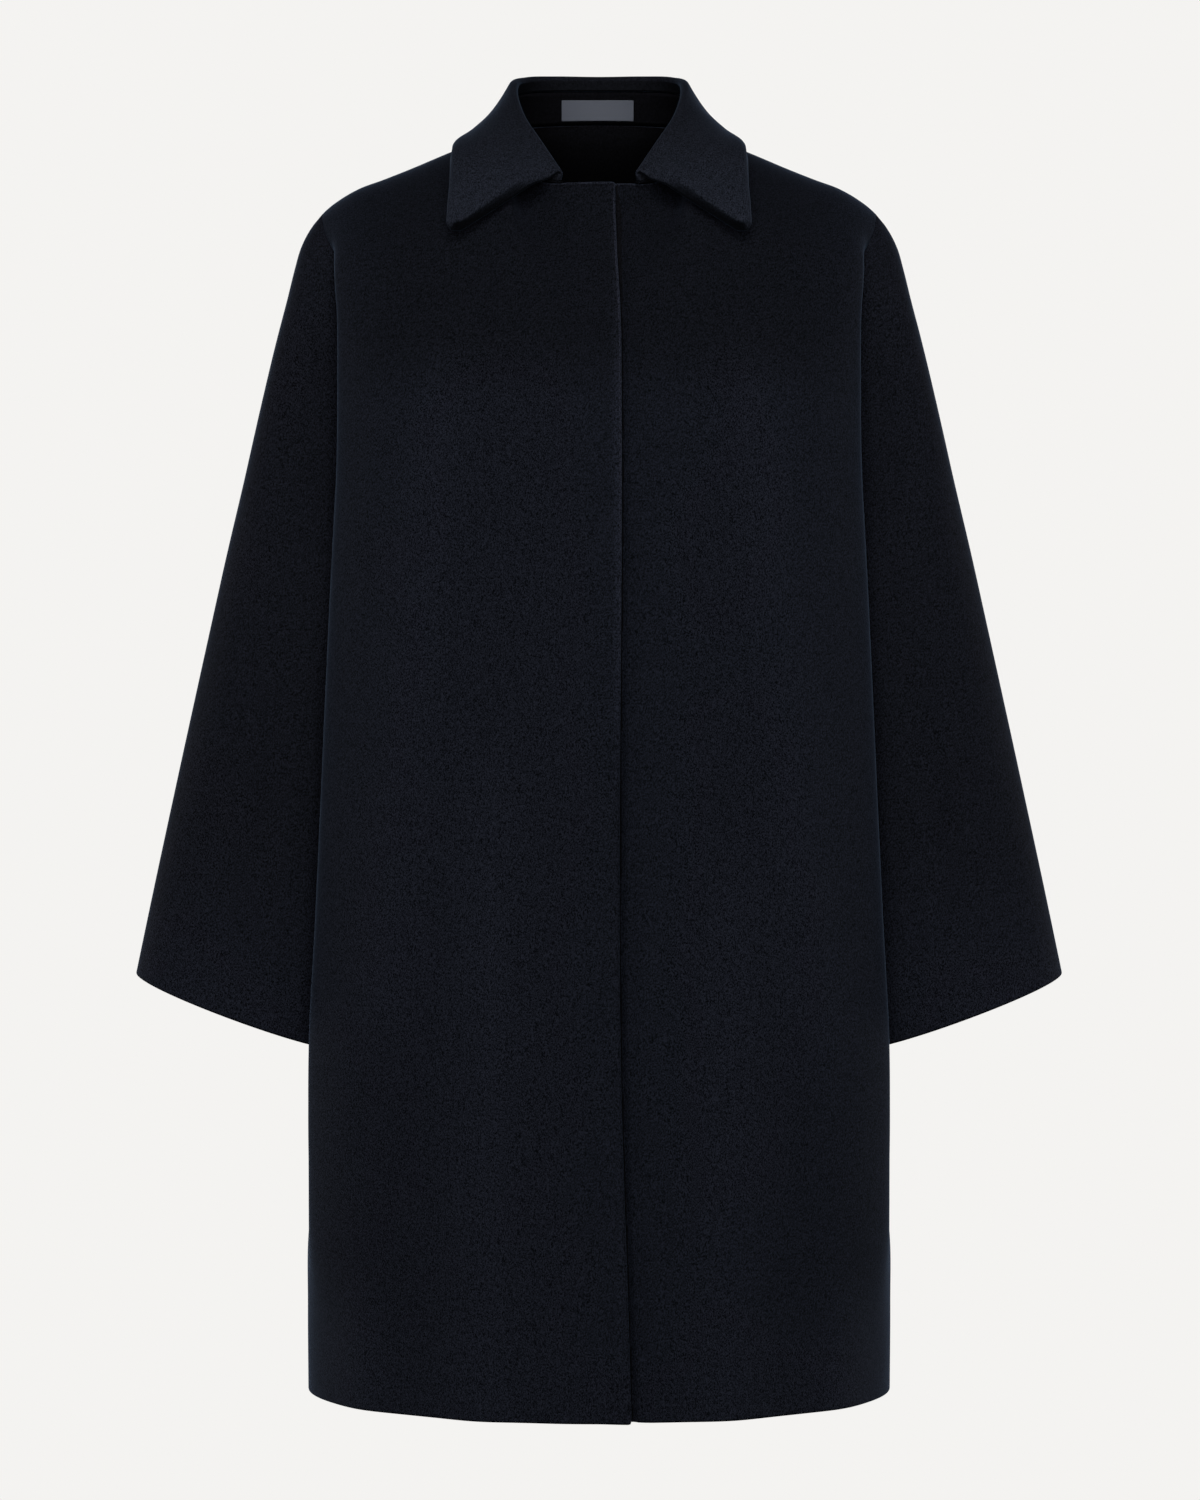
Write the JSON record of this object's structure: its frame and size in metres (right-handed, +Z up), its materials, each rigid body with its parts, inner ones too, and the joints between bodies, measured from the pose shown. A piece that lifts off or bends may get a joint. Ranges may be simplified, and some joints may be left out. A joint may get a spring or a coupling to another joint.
{
  "type": "coat",
  "caption": "Wide cape-cut overcoat in brushed cashmere, filled out as worn and hollow, with a pointed collar, full sleeves and a front closed under a hidden placket.",
  "frame": {"origin": "inside the neck, on the centre plane, level with the points where the shoulders meet the neck", "axes": "+Z up, +X to the wearer's left, the front faces -Y"},
  "size_m": [0.7232, 0.2968, 1.0329],
  "materials": {
    "cashmere": "brushed, matt, deep navy",
    "satin": "woven satin, soft sheen, grey"
  },
  "bodies": {
    "root": {"front_right": "cashmere", "front_left": "cashmere", "back": "cashmere", "sleeve_right": "cashmere", "sleeve_left": "cashmere", "collar": "cashmere", "collar_stand": "cashmere", "neck_label": "satin"}
  },
  "joints": []
}
